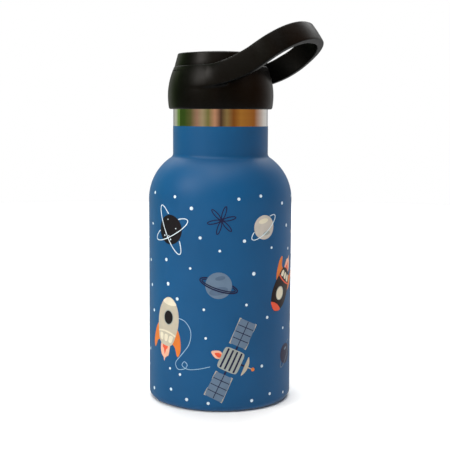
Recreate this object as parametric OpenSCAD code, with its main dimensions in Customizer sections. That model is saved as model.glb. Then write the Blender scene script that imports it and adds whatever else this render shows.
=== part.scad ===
// Kids water bottle, 350 ml: a double-wall steel bottle and a screw cap with a carrying loop.
// Origin at the centre of the base, +Z up the bottle's axis, the loop reaches out along +X.

/* [Bottle] */
// Outside diameter of the painted body
body_d = 70; // [66:0.5:74]
// Height at which the straight wall turns into the shoulder
wall_top_z = 98; // [70:1:120]
// Radius of the round shoulder
shoulder_r = 24.3; // [20:0.1:26]
// Outside diameter of the painted neck
neck_d = 46.4; // [45:0.1:47]
// Radius of the hollow fillet between the shoulder and the neck
neck_fillet_r = 2.4; // [1.5:0.1:4]
// Height of the painted part of the neck, above the fillet
painted_neck_h = 13.3; // [8:0.1:18]
// Height of the bare steel band that shows under the cap
band_h = 8.9; // [4:0.1:12]
// Radius of the corner at the base
base_corner_r = 3.4; // [2:0.1:5]

/* [Walls] */
// Thickness of the powder coat
coat_t = 0.12; // [0.08:0.01:0.2]
// Thickness of the outer steel wall
outer_t = 0.5; // [0.4:0.05:0.6]
// Thickness of the inner steel wall
inner_t = 0.4; // [0.3:0.05:0.5]
// Distance from the painted face to the inner steel wall
vacuum_offset = 3.4; // [2.8:0.1:3.6]
// Height of the inner bottom over the table
inner_bottom_z = 7.6; // [6:0.1:10]

/* [Thread] */
// Rise of the cap in one turn
thread_pitch = 4; // [3.6:0.1:5]
// Turns of thread in mesh
thread_turns = 1.5; // [1:0.25:1.75]
// Height of a thread ridge over its wall
thread_h = 0.8; // [0.6:0.05:0.9]

/* [Cap] */
// Largest diameter of the cap's drum
cap_d = 51.4; // [50.8:0.1:52]
// Height of the drum, from its lower edge to its rim
drum_h = 20.5; // [19.5:0.1:23]
// Height of the whole cap without the loop
cap_h = 27.8; // [26.5:0.1:30]
// Depth that the plug reaches into the mouth
plug_depth = 11; // [8:0.5:14]

/* [Carrying loop] */
// Distance from the bottle's axis to the tip, measured along the bent band
loop_reach = 53.1; // [48:0.1:60]
// Width of the loop over both straps, where they leave the drum
loop_w = 50.2; // [48:0.1:50.6]
// Upward tilt of the loop, in degrees
loop_tilt = 34.7; // [20:0.1:40]
// Height of the band's face along the straps
band_face = 11; // [8.5:0.1:11.6]
// Thickness of the band along the straps
band_t = 3; // [2.4:0.1:3.6]

/* [Hidden] */
$fn = 96;

body_r = body_d / 2;
neck_r = neck_d / 2;

// The shoulder's arc and the neck's fillet touch at the angle shoulder_turn
shoulder_cx = body_r - shoulder_r;
fillet_c = [neck_r + neck_fillet_r,
            wall_top_z + sqrt(pow(shoulder_r + neck_fillet_r, 2) - pow(neck_r + neck_fillet_r - shoulder_cx, 2))];
shoulder_turn = atan2(fillet_c[1] - wall_top_z, fillet_c[0] - shoulder_cx);

// Heights up the neck
paint_z = fillet_c[1] + painted_neck_h;
cap_z = paint_z + band_h;
step_z = cap_z + 0.9;
step_h = 1.1;
lip_z = cap_z + 13.9;
lip_t = 0.8;

// Radii up the neck, from the inside out
mouth_r = neck_r - vacuum_offset - inner_t;
root_r = neck_r - 1.3;
crest_gap = 0.3;
female_wall_r = root_r + thread_h + crest_gap;
female_crest_r = root_r + crest_gap;

// Base
shell_z0 = 6;
steel_r = body_r - coat_t;
foot_r = body_r - base_corner_r;
recess_r = 27;
cup_t = 0.6;
recess_z = 2.2;
seal_hole_r = 1;
weld_z = inner_bottom_z + 6.4;

// Cap
cap_r = cap_d / 2;
drum_belly_z = cap_z + 5.7;
foot_z = cap_z - 0.8;
rim_z = foot_z + drum_h;
rim_r = cap_r - 3.2;
cap_top_z = foot_z + cap_h;
skirt_r = female_wall_r + 0.85;
socket_z = cap_z + 17.2;
ceiling_z = lip_z + 0.95;
ceiling_t = 1.1;
top_hole_r = rim_r - 1.5;
neck_in_z = lip_z - 1.7;
upper_skirt_r = skirt_r - 0.85;
plug_r = mouth_r - 0.8;
plug_t = 1.2;
plug_z = lip_z - plug_depth;
flange_r = female_crest_r - 0.6;

// Loop
bend_start = 2;
bend_r = 50.8;
strap_end = 30;
strap_taper = 0.6;
loop_z = cap_z + 15.25;
tip_power = 2.3;
tip_t = 3.9;
loop_root = -10;
root_curl = 9;

// Heights of the band's face over and under its middle line: at the root, and at the tip
root_up = 4.25;
root_down = 5.65;
tip_half = 5.05;
widest_l = 25;

// Points along an arc about c, from angle a0 to angle a1
function arc(c, r, a0, a1, n) = [for (i = [0:n]) let (a = a0 + (a1 - a0) * i / n) c + r * [cos(a), sin(a)]];

function backwards(list) = [for (i = [len(list) - 1:-1:0]) list[i]];

// The bottle's outline at the depth o inside the painted face, from the height z0 up to the neck
function outline(o, z0) = concat(
    [[body_r - o, z0]],
    arc([shoulder_cx, wall_top_z], shoulder_r - o, 0, shoulder_turn, 16),
    arc(fillet_c, neck_fillet_r + o, 180 + shoulder_turn, 180, 6));

// The base's corner at the depth o, from the foot up
function corner(o) = arc([body_r - base_corner_r, base_corner_r], base_corner_r - o, -90, 0, 6);

// One helical ridge of the thread on a wall of radius r; out is 1 outwards and -1 inwards
module thread_ridge(r, out, z0) {
    steps = 36;
    n = ceil(steps * thread_turns);
    base_w = 2;
    crest_w = 1.2;
    sunk = 0.2;
    ring = function(i) let (a = 360 * i / steps, z = z0 + thread_pitch * i / steps,
                            h = thread_h * min(1, min(i, n - i) / 4 + 0.05))
        [for (p = [[-sunk, -base_w / 2], [h, -crest_w / 2], [h, crest_w / 2], [-sunk, base_w / 2]])
            let (q = r + out * p[0]) [q * cos(a), q * sin(a), z + p[1]]];
    points = [for (i = [0:n]) each ring(i)];
    sides = [for (i = [0:n - 1], k = [0:3]) let (a = 4 * i + k, b = 4 * i + (k + 1) % 4) [a, b, b + 4, a + 4]];
    ends = [[3, 2, 1, 0], [4 * n, 4 * n + 1, 4 * n + 2, 4 * n + 3]];
    faces = concat(sides, ends);
    polyhedron(points, out > 0 ? faces : [for (f = faces) backwards(f)], convexity = 4);
}

module outer_shell() {
    band_r = neck_r - coat_t;
    color("silver") {
        rotate_extrude() polygon(concat(
            outline(coat_t, shell_z0),
            [[band_r, step_z], [root_r, step_z + step_h], [root_r, lip_z - lip_t]],
            [[root_r - outer_t, lip_z - lip_t], [root_r - outer_t, step_z + step_h - 0.2],
             [band_r - outer_t, step_z - 0.2]],
            backwards(outline(coat_t + outer_t, shell_z0))));
        thread_ridge(root_r, 1, step_z + step_h + 1.9);
    }
}

module powder_coat() {
    color("steelblue") rotate_extrude() polygon(concat(
        corner(0), outline(0, shell_z0), [[neck_r, paint_z], [neck_r - coat_t, paint_z]],
        backwards(outline(coat_t, shell_z0)), backwards(corner(coat_t))));
}

module base_cup() {
    color("silver") rotate_extrude() polygon(concat(
        [[recess_r, 0], [foot_r, 0]],
        corner(coat_t), [[steel_r, shell_z0], [steel_r - cup_t, shell_z0]],
        backwards(corner(coat_t + cup_t)),
        [[recess_r + cup_t, cup_t + coat_t], [recess_r + cup_t, recess_z + cup_t],
         [seal_hole_r, recess_z + cup_t], [seal_hole_r, recess_z], [recess_r, recess_z]]));
}

module base_plate() {
    color("gainsboro") translate([0, 0, 0.5]) cylinder(r = recess_r, h = 0.6);
}

module vacuum_seal() {
    head_r = 2.2;
    color("darkgray") rotate_extrude() polygon(concat(
        [[0, 1.5]], arc([head_r - 0.5, recess_z - 0.2], 0.5, -90, 0, 4),
        [[head_r, recess_z], [seal_hole_r, recess_z], [seal_hole_r, recess_z + cup_t + 0.2],
         [0, recess_z + cup_t + 0.3]]));
}

module getter() {
    color("dimgray") translate([12, 0, inner_bottom_z - 1.6]) cylinder(r = 4, h = 1.6);
}

module inner_vessel() {
    lip_round = 0.6;
    color("silver") rotate_extrude() polygon(concat(
        outline(vacuum_offset, weld_z),
        [[neck_r - vacuum_offset, lip_z - lip_t], [root_r, lip_z - lip_t]],
        arc([root_r - lip_round, lip_z - lip_round], lip_round, 0, 90, 4),
        arc([mouth_r + lip_round, lip_z - lip_round], lip_round, 90, 180, 4),
        backwards(outline(vacuum_offset + inner_t, weld_z))));
}

module inner_bottom() {
    bottom_corner = 5;
    r = body_r - vacuum_offset;
    c = [r - bottom_corner, inner_bottom_z + bottom_corner];
    color("silver") rotate_extrude() polygon(concat(
        [[0, inner_bottom_z]], arc(c, bottom_corner, -90, 0, 8), [[r, weld_z], [r - inner_t, weld_z]],
        arc(c, bottom_corner - inner_t, 0, -90, 8), [[0, inner_bottom_z + inner_t]]));
}

module reflective_foil() {
    foil_t = 0.1;
    r = body_r - vacuum_offset + 0.05;
    color("peru") translate([0, 0, weld_z + 2]) difference() {
        cylinder(r = r + foil_t, h = wall_top_z - weld_z - 4);
        translate([0, 0, -1]) cylinder(r = r, h = wall_top_z - weld_z - 2);
    }
}

// The drum's outer radius at the height z: it swells to its belly and then draws in to the rim
function drum_r(z) = z < drum_belly_z
    ? cap_r - 0.6 * pow((drum_belly_z - z) / (drum_belly_z - foot_z), 2)
    : cap_r - (cap_r - rim_r) * pow((z - drum_belly_z) / (rim_z - drum_belly_z), 2);

module drum() {
    edge_r = 0.8;
    edge_c = [drum_r(foot_z + edge_r) - edge_r, foot_z + edge_r];
    levels = 18;
    rotate_extrude() polygon(concat(
        [[0, foot_z]], arc(edge_c, edge_r, -90, 0, 4),
        [for (i = [1:levels]) let (z = foot_z + edge_r + (rim_z - foot_z - edge_r) * i / levels) [drum_r(z), z]],
        [[0, rim_z]]));
}

// The bent side view of the loop at the distance l along the band: [x, z, slope]
bend_end = bend_start + bend_r * loop_tilt * PI / 180;
function side_view(l) = l < bend_start ? [l, 0, 0]
    : l < bend_end ? let (a = (l - bend_start) / bend_r * 180 / PI)
        [bend_start + bend_r * sin(a), bend_r * (1 - cos(a)), a]
    : [bend_start + bend_r * sin(loop_tilt) + (l - bend_end) * cos(loop_tilt),
       bend_r * (1 - cos(loop_tilt)) + (l - bend_end) * sin(loop_tilt), loop_tilt];

// Half of the loop's outline in the band's own plane, from its root to its tip: [distance, half width]
strap_steps = 12;
tip_steps = 16;
function loop_half() = concat(
    [for (i = [0:strap_steps - 1]) let (l = loop_root + (strap_end - loop_root) * i / strap_steps)
        [l, loop_w / 2 - (l < 0 ? l * l / 2 / root_curl : strap_taper * l / strap_end)]],
    [for (i = [0:tip_steps]) let (a = 90 - 90 * i / tip_steps)
        [strap_end + (loop_reach - strap_end) * pow(cos(a), 2 / tip_power),
         (loop_w / 2 - strap_taper) * pow(sin(a), 2 / tip_power)]]);

// Half of the face's height at the distance l, when it is root at the drum
function face_half(l, root) = l < widest_l
    ? root + (band_face / 2 - root) * max(0, l) / widest_l
    : band_face / 2 + (tip_half - band_face / 2) * (l - widest_l) / (loop_reach - widest_l);

module loop_band() {
    half = loop_half();
    n = len(half);
    line = concat(half, [for (i = [n - 2:-1:0]) [half[i][0], -half[i][1]]]);
    last = len(line) - 1;
    edge = 0.7;
    ring = function(i)
        let (p = line[i], d = line[min(i + 1, last)] - line[max(i - 1, 0)],
             out = [-d[1], d[0]] / norm(d), far = pow(max(0, p[0] / loop_reach), 2),
             t = band_t + (tip_t - band_t) * far,
             top = face_half(p[0], root_up),
             low = -face_half(p[0], root_down))
        [for (q = [[0, top - edge], [-edge, top], [edge - t, top], [-t, top - edge],
                   [-t, low + edge], [edge - t, low], [-edge, low], [0, low + edge]])
            let (s = side_view(p[0] + out[0] * q[0]))
            [s[0] - q[1] * sin(s[2]), p[1] + out[1] * q[0], loop_z + s[1] + q[1] * cos(s[2])]];
    points = [for (i = [0:last]) each ring(i)];
    sides = [for (i = [0:last - 1], k = [0:7]) let (a = 8 * i + k, b = 8 * i + (k + 1) % 8) [a, b, b + 8, a + 8]];
    ends = [[7, 6, 5, 4, 3, 2, 1, 0], [for (k = [0:7]) 8 * last + k]];
    polyhedron(points, [for (f = concat(sides, ends)) backwards(f)], convexity = 6);
}

module cap_shell() {
    color([0.1, 0.1, 0.11]) difference() {
        union() {
            drum();
            loop_band();
        }
        rotate_extrude() polygon([
            [0, foot_z - 1], [skirt_r, foot_z - 1], [skirt_r, neck_in_z], [upper_skirt_r, neck_in_z + 1.2],
            [upper_skirt_r, socket_z], [top_hole_r, socket_z], [top_hole_r, cap_top_z + 1], [0, cap_top_z + 1]]);
    }
}

module cap_top() {
    flange_z = rim_z + 0.05;
    side_r = rim_r - 0.15;
    edge_r = 0.8;
    side_top = [side_r - 1.4, cap_top_z - 1.9];
    dome_r = 170;
    dome_a = asin((side_top[0] - 0.9) / dome_r);
    color([0.1, 0.1, 0.11]) rotate_extrude() polygon(concat(
        [[top_hole_r - 1.8, socket_z + 0.3], [top_hole_r - 0.1, socket_z + 0.3], [top_hole_r - 0.1, flange_z],
         [side_r, flange_z], [side_r, rim_z + 0.3]],
        arc(side_top - [edge_r, 0], edge_r, 14, 70, 4),
        arc([0, cap_top_z - dome_r], dome_r, 90 - dome_a + 0.3, 90, 6),
        [[0, cap_top_z - 1.8], [top_hole_r - 1.8, cap_top_z - 2.6]]));
}

module thread_ring() {
    color([0.16, 0.16, 0.17]) {
        rotate_extrude() polygon([
            [female_wall_r, step_z + step_h + 0.3], [skirt_r, step_z + step_h + 0.3],
            [skirt_r, neck_in_z], [upper_skirt_r, neck_in_z + 1.2], [upper_skirt_r, socket_z],
            [flange_r - 1.6, socket_z], [flange_r - 1.6, ceiling_z + ceiling_t],
            [root_r + 0.4, ceiling_z + ceiling_t], [root_r + 0.4, neck_in_z], [female_wall_r, neck_in_z - 0.8]]);
        thread_ridge(female_wall_r, -1, step_z + step_h + 1.9 + thread_pitch / 2);
    }
}

module plug_cup() {
    groove_r = plug_r - 0.7;
    color([0.16, 0.16, 0.17]) rotate_extrude() polygon([
        [0, plug_z], [plug_r - 1, plug_z], [plug_r, plug_z + 1], [plug_r, lip_z - 0.9], [groove_r, lip_z - 0.9],
        [groove_r, ceiling_z], [flange_r, ceiling_z], [flange_r, ceiling_z + ceiling_t],
        [groove_r - plug_t, ceiling_z + ceiling_t], [groove_r - plug_t, plug_z + plug_t], [0, plug_z + plug_t]]);
}

module plug_foam() {
    color("ivory") translate([0, 0, plug_z + plug_t + 0.1])
        cylinder(r = plug_r - 0.7 - plug_t - 0.1, h = ceiling_z + ceiling_t - plug_z - plug_t - 0.1);
}

module seal_ring() {
    groove_r = plug_r - 0.7;
    color("whitesmoke") rotate_extrude() polygon([
        [groove_r + 0.08, lip_z - 0.6], [mouth_r - 0.15, lip_z - 0.6], [mouth_r - 0.15, lip_z + 0.05],
        [root_r - 0.2, lip_z + 0.05], [root_r - 0.2, ceiling_z - 0.08], [groove_r + 0.08, ceiling_z - 0.08]]);
}

outer_shell();
powder_coat();
base_cup();
base_plate();
vacuum_seal();
getter();
inner_vessel();
inner_bottom();
reflective_foil();
cap_shell();
cap_top();
thread_ring();
plug_cup();
plug_foam();
seal_ring();
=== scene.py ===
"""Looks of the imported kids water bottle: fine meshes, print, finishes, light and camera.

Sizes are in millimetres in the row's frame, and become metres when a mesh is made.
"""

import math
import random

import bmesh
import bpy
import numpy as np
from mathutils import Matrix, Vector


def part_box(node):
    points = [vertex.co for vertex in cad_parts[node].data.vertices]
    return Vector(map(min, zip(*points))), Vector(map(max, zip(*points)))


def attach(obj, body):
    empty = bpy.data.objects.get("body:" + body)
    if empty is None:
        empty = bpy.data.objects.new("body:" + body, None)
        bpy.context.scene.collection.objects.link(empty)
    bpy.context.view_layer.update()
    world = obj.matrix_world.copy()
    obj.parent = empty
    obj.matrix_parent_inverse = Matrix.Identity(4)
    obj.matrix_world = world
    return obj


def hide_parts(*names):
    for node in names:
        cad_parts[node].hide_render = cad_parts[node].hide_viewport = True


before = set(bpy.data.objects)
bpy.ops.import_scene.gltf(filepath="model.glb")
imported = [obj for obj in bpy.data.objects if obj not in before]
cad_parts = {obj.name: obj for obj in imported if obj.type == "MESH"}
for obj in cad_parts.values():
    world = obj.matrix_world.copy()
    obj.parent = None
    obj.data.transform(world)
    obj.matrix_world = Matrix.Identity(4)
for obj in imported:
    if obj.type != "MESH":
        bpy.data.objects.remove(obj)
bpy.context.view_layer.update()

MM = 0.001

# ---- sizes, the same as the CAD's
BODY_R = 35.0
WALL_TOP_Z = 98.0
SHOULDER_R = 24.3
SHOULDER_CX = BODY_R - SHOULDER_R
NECK_R = 23.2
FILLET_R = 2.4
FILLET_X = NECK_R + FILLET_R
FILLET_Z = WALL_TOP_Z + math.sqrt((SHOULDER_R + FILLET_R) ** 2 - (FILLET_X - SHOULDER_CX) ** 2)
SHOULDER_TURN = math.degrees(math.atan2(FILLET_Z - WALL_TOP_Z, FILLET_X - SHOULDER_CX))
PAINT_Z = FILLET_Z + 13.3
CAP_Z = PAINT_Z + 8.9
BASE_CORNER_R = 3.4
FOOT_R = BODY_R - BASE_CORNER_R

COAT_T = 0.12
OUTER_T = 0.5
INNER_T = 0.4
VACUUM = 3.4
INNER_BOTTOM_Z = 7.6
WELD_Z = INNER_BOTTOM_Z + 6.4
SHELL_Z0 = 6.0

STEP_Z = CAP_Z + 0.9
STEP_TOP_Z = STEP_Z + 1.1
LIP_Z = CAP_Z + 13.9
LIP_T = 0.8
MOUTH_R = NECK_R - VACUUM - INNER_T
ROOT_R = NECK_R - 1.3
PITCH = 4.0
TURNS = 1.5
RIDGE_H = 0.8
THREAD_Z = STEP_TOP_Z + 1.9
FEMALE_WALL_R = ROOT_R + RIDGE_H + 0.3
SKIRT_R = FEMALE_WALL_R + 0.85
UPPER_SKIRT_R = SKIRT_R - 0.85
NECK_IN_Z = LIP_Z - 1.7
NECK_SLOPE_Z = NECK_IN_Z + 1.2

CAP_R = 25.7
BELLY_Z = CAP_Z + 5.7
FOOT_Z = CAP_Z - 0.8
RIM_Z = FOOT_Z + 20.5
RIM_R = CAP_R - 3.2
CAP_TOP_Z = FOOT_Z + 27.8
SOCKET_Z = CAP_Z + 17.2
TOP_HOLE_R = RIM_R - 1.5
CEILING_Z = LIP_Z + 0.95
CEILING_T = 1.1
PLUG_R = MOUTH_R - 0.8
GROOVE_R = PLUG_R - 0.7
PLUG_T = 1.2
PLUG_Z = LIP_Z - 11.0
FLANGE_R = ROOT_R + 0.3 - 0.6

LOOP_Z = CAP_Z + 15.25
LOOP_HALF_W = 25.1
LOOP_REACH = 53.1
LOOP_TILT = math.radians(34.7)
BEND_START = 2.0
BEND_R = 50.8
BEND_END = BEND_START + BEND_R * LOOP_TILT
STRAP_END = 30.0
STRAP_TAPER = 0.6
ROOT_L = -12.0
ROOT_UP = 4.25
ROOT_DOWN = 5.65
WIDEST_L = 25.0
MID_HALF = 5.5
TIP_HALF = 5.05
TIP_POWER = 2.3

SEGMENTS = 288
SHOULDER_STEPS = 48
FILLET_STEPS = 14
CORNER_STEPS = 12


# ---- finishes
def srgb(red, green, blue):
    """A screen colour of 0 to 255 as the linear colour that shaders use."""
    linear = [((c / 255 + 0.055) / 1.055) ** 2.4 if c > 10 else c / 255 / 12.92
              for c in (red, green, blue)]
    return (*linear, 1.0)


def scaled(colour, factor):
    return (*[min(1.0, c * factor) for c in colour[:3]], 1.0)


def new_node(nodes, kind, values=()):
    """A new node of a kind, with inputs set from (name, value)."""
    node = nodes.new(kind)
    for name, value in values:
        node.inputs[name].default_value = value
    return node


def noise_at(tree, scale, detail, stretch):
    """A noise texture in the object's own space, with its cells about 1/scale metres across."""
    nodes, links = tree.nodes, tree.links
    place = new_node(nodes, "ShaderNodeTexCoord")
    mapping = new_node(nodes, "ShaderNodeMapping", [("Scale", stretch)])
    noise = new_node(nodes, "ShaderNodeTexNoise", [("Scale", scale), ("Detail", detail)])
    links.new(place.outputs["Object"], mapping.inputs["Vector"])
    links.new(mapping.outputs["Vector"], noise.inputs["Vector"])
    return noise.outputs["Fac"]


def finish(name, colour, roughness, **look):
    """A procedural finish. look may give metallic, specular, subsurface, subsurface_scale, and how the
    finish varies: the colour by the share vary over patches of patch metres, the roughness by
    rough_vary, and bumps grain metres wide and bump metres high, shown at a strength. stretch scales
    the noise along each axis."""
    patch = look.get("patch", 0.012)
    vary = look.get("vary", 0.06)
    rough_vary = look.get("rough_vary", 0.05)
    stretch = look.get("stretch", (1.0, 1.0, 1.0))
    material = bpy.data.materials.new(name)
    material.use_nodes = True
    material.diffuse_color = colour
    tree = material.node_tree
    nodes, links = tree.nodes, tree.links
    shader = nodes["Principled BSDF"]
    shader.inputs["Metallic"].default_value = look.get("metallic", 0.0)
    shader.inputs["Specular IOR Level"].default_value = look.get("specular", 0.5)
    shader.inputs["Subsurface Weight"].default_value = look.get("subsurface", 0.0)
    shader.inputs["Subsurface Scale"].default_value = look.get("subsurface_scale", 0.001)

    ramp = new_node(nodes, "ShaderNodeValToRGB")
    ramp.color_ramp.elements[0].position = 0.35
    ramp.color_ramp.elements[1].position = 0.65
    ramp.color_ramp.elements[0].color = scaled(colour, 1 - vary)
    ramp.color_ramp.elements[1].color = scaled(colour, 1 + vary)
    links.new(noise_at(tree, 1 / patch, 4.0, stretch), ramp.inputs["Fac"])
    links.new(ramp.outputs["Color"], shader.inputs["Base Color"])

    least_rough = 0.02
    spread = new_node(nodes, "ShaderNodeMapRange", [
        ("From Min", 0.3), ("From Max", 0.7),
        ("To Min", max(least_rough, roughness - rough_vary)), ("To Max", roughness + rough_vary)])
    links.new(noise_at(tree, 2.7 / patch, 5.0, stretch), spread.inputs["Value"])
    links.new(spread.outputs["Result"], shader.inputs["Roughness"])

    bump = new_node(nodes, "ShaderNodeBump", [
        ("Strength", look.get("strength", 0.5)), ("Distance", look.get("bump", 0.00002))])
    links.new(noise_at(tree, 1 / look.get("grain", 0.0008), 2.0, stretch), bump.inputs["Height"])
    links.new(bump.outputs["Normal"], shader.inputs["Normal"])
    return material


BLUE = srgb(6, 80, 129)
STEEL = (0.62, 0.61, 0.59, 1.0)

# Each finish by name: its colour, its roughness and its look.
LOOKS = {
    "blue_powder_coat": (BLUE, 0.48, dict(
        specular=0.26, vary=0.045, patch=0.03, rough_vary=0.03, grain=0.0011, bump=0.00003,
        strength=0.35)),
    "polished_steel": (scaled(STEEL, 0.8), 0.045, dict(
        metallic=1.0, vary=0.04, patch=0.02, rough_vary=0.015, grain=0.0015, bump=0.000002,
        stretch=(0.12, 0.12, 6.0))),
    "satin_steel": (STEEL, 0.3, dict(
        metallic=1.0, vary=0.07, patch=0.015, rough_vary=0.06, grain=0.0009, bump=0.00001,
        stretch=(0.2, 0.2, 5.0))),
    "cap_black": (srgb(7, 7, 6), 0.34, dict(
        specular=0.1, vary=0.12, patch=0.009, rough_vary=0.04, grain=0.0005, bump=0.000012,
        strength=0.4)),
    "liner_black": (srgb(30, 30, 31), 0.5, dict(
        vary=0.1, patch=0.006, rough_vary=0.05, grain=0.0006, bump=0.00002)),
    "silicone": (srgb(226, 225, 218), 0.48, dict(
        vary=0.03, patch=0.005, subsurface=0.25, subsurface_scale=0.0015, grain=0.0007,
        bump=0.00001)),
    "foam": (srgb(232, 229, 216), 0.85, dict(vary=0.05, patch=0.003, grain=0.0018, bump=0.0002)),
    "solder": ((0.45, 0.45, 0.44, 1.0), 0.38, dict(
        metallic=1.0, vary=0.15, patch=0.001, grain=0.0004, bump=0.00003)),
    "getter_alloy": ((0.16, 0.155, 0.15, 1.0), 0.6, dict(
        metallic=0.8, vary=0.2, patch=0.0015, grain=0.0004, bump=0.00004)),
    "copper_foil": ((0.72, 0.4, 0.26, 1.0), 0.2, dict(
        metallic=1.0, vary=0.08, patch=0.008, grain=0.004, bump=0.0001)),
}
FINISHES = {name: finish(name, colour, roughness, **look)
            for name, (colour, roughness, look) in LOOKS.items()}

INK_COLOURS = {
    "white": (216, 232, 240),
    "navy": (20, 26, 64),
    "night": (20, 16, 24),
    "orange": (218, 118, 42),
    "red": (228, 84, 52),
    "slate": (98, 120, 143),
    "beige": (188, 180, 160),
    "cream": (222, 214, 190),
    "peach": (236, 178, 150),
    "ash": (158, 164, 158),
    "mist": (150, 188, 214),
    "sand": (196, 188, 178),
    "dusk": (82, 104, 130),
}
INKS = {
    name: finish(
        "ink_" + name, srgb(*rgb), 0.45, specular=0.28, vary=0.05, patch=0.004, rough_vary=0.04,
        grain=0.0009, bump=0.00002, strength=0.35)
    for name, rgb in INK_COLOURS.items()
}


# ---- mesh making
def make_piece(name, points, faces, body, material, sharp=32.0):
    """A smooth-shaded mesh object from points in millimetres, riding on a CAD body."""
    mesh = bpy.data.meshes.new(name)
    mesh.from_pydata((np.asarray(points, float) * MM).tolist(), [], faces)
    mesh.materials.append(material)
    mesh.shade_smooth()
    mesh.set_sharp_from_angle(angle=math.radians(sharp))
    piece = bpy.data.objects.new(name, mesh)
    bpy.context.scene.collection.objects.link(piece)
    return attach(piece, body)


def arc(centre, radius, start, end, steps):
    """Points on an arc, with its angles in degrees."""
    angles = [math.radians(start + (end - start) * i / steps) for i in range(steps + 1)]
    return [(centre[0] + radius * math.cos(a), centre[1] + radius * math.sin(a)) for a in angles]


def rounded(corners, steps=6):
    """A closed outline whose corners (r, z, radius) are rounded; a corner of two numbers stays sharp."""
    result = []
    for i, corner in enumerate(corners):
        at = Vector(corner[:2])
        if len(corner) < 3:
            result.append(tuple(at))
            continue
        before = Vector(corners[i - 1][:2]) - at
        after = Vector(corners[(i + 1) % len(corners)][:2]) - at
        half = before.angle(after) / 2
        reach = min(corner[2] / math.tan(half), 0.48 * before.length, 0.48 * after.length)
        radius = reach * math.tan(half)
        start = at + before.normalized() * reach
        end = at + after.normalized() * reach
        centre = at + (before.normalized() + after.normalized()).normalized() * radius / math.sin(half)
        first = math.degrees(math.atan2(*(start - centre).yx))
        turn = (math.degrees(math.atan2(*(end - centre).yx)) - first + 180) % 360 - 180
        result += arc(centre, radius, first, first + turn, steps)
    return result


def signed_area(outline):
    x, y = np.array(outline, float).T
    return 0.5 * float(np.sum(x * np.roll(y, -1) - np.roll(x, -1) * y))


def divided(outline, longest):
    """The closed outline with its long straight stretches cut into shorter ones."""
    result = []
    for i, here in enumerate(outline):
        after = outline[(i + 1) % len(outline)]
        parts = max(1, math.ceil(math.dist(here, after) / longest))
        for k in range(parts):
            share = k / parts
            result.append((here[0] + (after[0] - here[0]) * share, here[1] + (after[1] - here[1]) * share))
    return result


def lathe(outline, segments=SEGMENTS, longest=4.0):
    """Spins a closed outline of (r, z) about the bottle's axis, and returns points and faces."""
    if signed_area(outline) < 0:
        outline = outline[::-1]
    on_axis = 1e-6
    outline = [p for i, p in enumerate(outline) if math.dist(p, outline[i - 1]) > on_axis]
    outline = divided(outline, longest)
    keep = []
    for i, (r, z) in enumerate(outline):
        beside = outline[i - 1][0] > on_axis or outline[(i + 1) % len(outline)][0] > on_axis
        if r > on_axis or beside:
            keep.append((r, z))
    turns = [2 * math.pi * k / segments for k in range(segments)]
    points, starts = [], []
    for r, z in keep:
        starts.append(len(points))
        if r > on_axis:
            points += [(r * math.cos(t), r * math.sin(t), z) for t in turns]
        else:
            points.append((0.0, 0.0, z))
    faces = []
    for i, (r, _) in enumerate(keep):
        j = (i + 1) % len(keep)
        a, b = starts[i], starts[j]
        a_ring, b_ring = r > on_axis, keep[j][0] > on_axis
        for k in range(segments):
            m = (k + 1) % segments
            if a_ring and b_ring:
                faces.append((a + k, a + m, b + m, b + k))
            elif a_ring:
                faces.append((a + k, a + m, b))
            elif b_ring:
                faces.append((a, b + m, b + k))
    return points, faces


def joined(*meshes):
    """Several (points, faces) as one."""
    points, faces = [], []
    for more_points, more_faces in meshes:
        start = len(points)
        points += [tuple(p) for p in more_points]
        faces += [tuple(start + i for i in face) for face in more_faces]
    return points, faces


def thread_ridge(radius, out, z0):
    """A helical ridge on a wall, rounded at its crest and fading out at both ends. out is 1 for a
    ridge on the outside of a wall and -1 for one on the inside."""
    flank = [(-0.2, 1.0), (0.1, 0.88), (0.55, 0.7), (0.74, 0.58), (RIDGE_H, 0.4)]
    section = [(height, -side) for height, side in flank] + [(RIDGE_H, 0.0)] + flank[::-1]
    steps = 96
    fade = 12
    lowest = 0.06
    count = round(steps * TURNS)
    points = []
    for i in range(count + 1):
        turn = 2 * math.pi * i / steps
        share = min(1.0, min(i, count - i) / fade)
        rise = lowest + (1 - lowest) * share * share * (3 - 2 * share)
        for height, side in section:
            r = radius + out * (height * rise if height > 0 else height)
            points.append((r * math.cos(turn), r * math.sin(turn), z0 + PITCH * i / steps + side))
    n = len(section)
    faces = [(n * i + k, n * i + (k + 1) % n, n * (i + 1) + (k + 1) % n, n * (i + 1) + k)
             for i in range(count) for k in range(n)]
    faces.append(tuple(range(n - 1, -1, -1)))
    faces.append(tuple(n * count + k for k in range(n)))
    if out < 0:
        faces = [face[::-1] for face in faces]
    return points, faces


def wall_line(depth, z0):
    """The bottle's side at a depth inside the painted face, from z0 up to the neck."""
    return ([(BODY_R - depth, z0)]
            + arc((SHOULDER_CX, WALL_TOP_Z), SHOULDER_R - depth, 0, SHOULDER_TURN, SHOULDER_STEPS)
            + arc((FILLET_X, FILLET_Z), FILLET_R + depth, 180 + SHOULDER_TURN, 180, FILLET_STEPS))


def corner_line(depth):
    return arc((FOOT_R, BASE_CORNER_R), BASE_CORNER_R - depth, -90, 0, CORNER_STEPS)


# ---- the bottle
def painted_coat():
    edge = 0.05
    return lathe(corner_line(0) + wall_line(0, SHELL_Z0)
                 + [(NECK_R, PAINT_Z - edge), (NECK_R - edge, PAINT_Z), (NECK_R - COAT_T, PAINT_Z)]
                 + wall_line(COAT_T, SHELL_Z0)[::-1] + corner_line(COAT_T)[::-1])


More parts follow.
